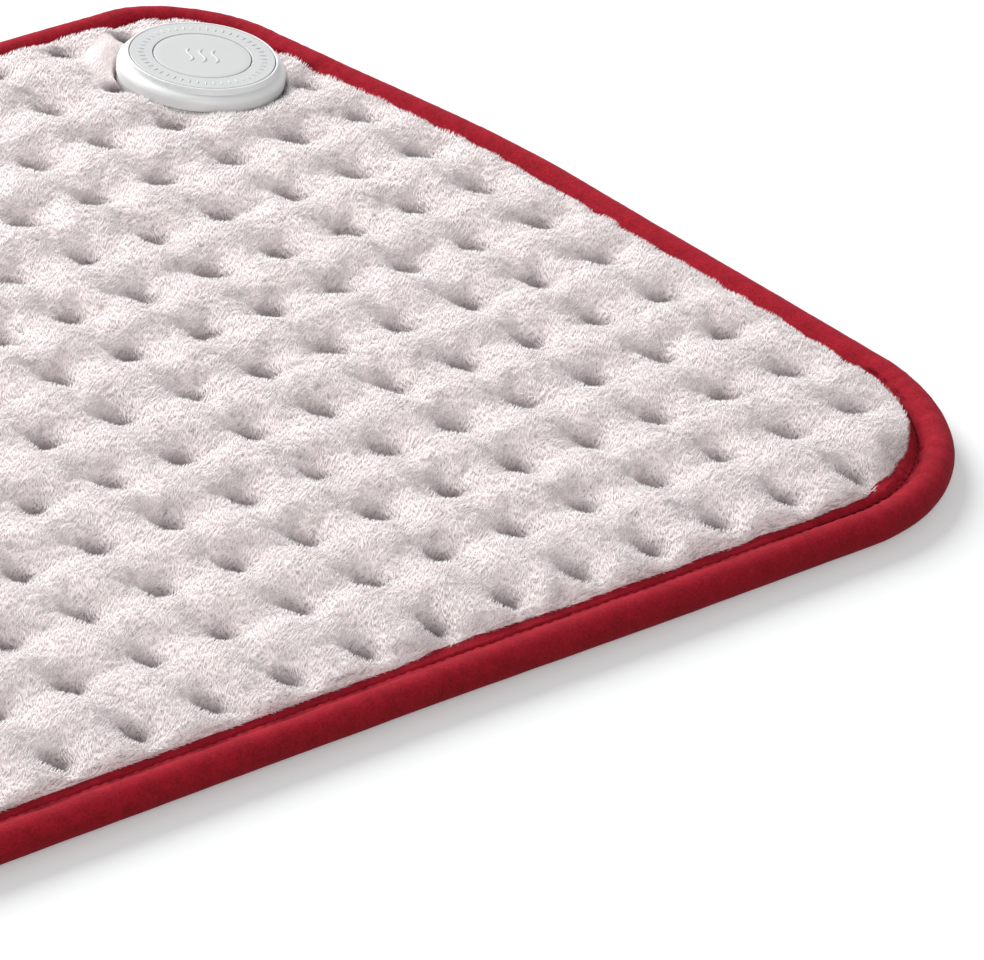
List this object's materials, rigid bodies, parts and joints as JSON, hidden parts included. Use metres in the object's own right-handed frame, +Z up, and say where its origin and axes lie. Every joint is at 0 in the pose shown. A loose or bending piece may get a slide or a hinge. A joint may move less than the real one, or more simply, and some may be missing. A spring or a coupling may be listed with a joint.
{
  "type": "heating pad with controller",
  "caption": "Quilted plush heating pad with a rolled fabric edge and a round clamped-on control unit that has a large press button and a supply inlet.",
  "frame": {"origin": "middle of the pad's flat underside, on the surface that it lies on", "axes": "+Z up, +X along the long side towards the control unit's end, +Y along the short side towards the control unit's edge"},
  "size_m": [0.44, 0.33, 0.0172],
  "materials": {
    "plush": "short dense plush",
    "red_tape": "soft microfibre",
    "back_cloth": "brushed knit",
    "felt": "thin bonded felt",
    "fibre_fill": "loose bonded fibre",
    "foam": "soft foam",
    "white_plastic": "satin, fine texture on the face",
    "grey_plastic": "moulded",
    "black_plastic": "moulded",
    "board": "solder mask",
    "silicone": "smooth sleeve",
    "steel": "plain",
    "brass": "plated"
  },
  "bodies": {
    "root": {"back_cover": "back_cloth", "wire_carrier": "felt", "wadding": "fibre_fill", "top_cover": "plush", "edge_core": "foam", "edge_tape": "red_tape", "heating_wire_1": "silicone", "heating_wire_2": "silicone", "heating_wire_3": "silicone", "thermal_cutout_1": "steel", "thermal_cutout_2": "steel", "clamp_plate": "grey_plastic", "housing_base": "white_plastic", "housing_shell": "white_plastic", "face_ring": "white_plastic", "return_spring": "steel", "circuit_board": "board", "key_switch": "black_plastic", "control_chip": "black_plastic", "triac": "black_plastic", "capacitor": "grey_plastic", "fuse": "steel", "inlet_socket": "black_plastic", "clamp_screw_1": "steel", "clamp_screw_2": "steel", "clamp_screw_3": "steel", "board_screw_1": "steel", "board_screw_2": "steel", "board_screw_3": "steel", "lead_terminal_1": "brass", "lead_terminal_2": "brass", "inlet_pin_1": "brass", "inlet_pin_2": "brass", "inlet_pin_3": "brass"},
    "button": {"press_button": "white_plastic"},
    "plunger": {"switch_plunger": "grey_plastic"}
  },
  "joints": [
    {"name": "button_press", "type": "slide", "parent": "root", "child": "button", "axis": [0, 0, -1], "range_m": [0, 0.0008], "stiffness_N_per_m": 600, "springref_m": -0.001, "deforming": ["return_spring"]},
    {"name": "plunger_press", "type": "slide", "parent": "root", "child": "plunger", "axis": [0, 0, -1], "range_m": [0, 0.0008]}
  ],
  "couplings": [
    {"joint": "plunger_press", "follows": "button_press", "ratio": 1}
  ]
}
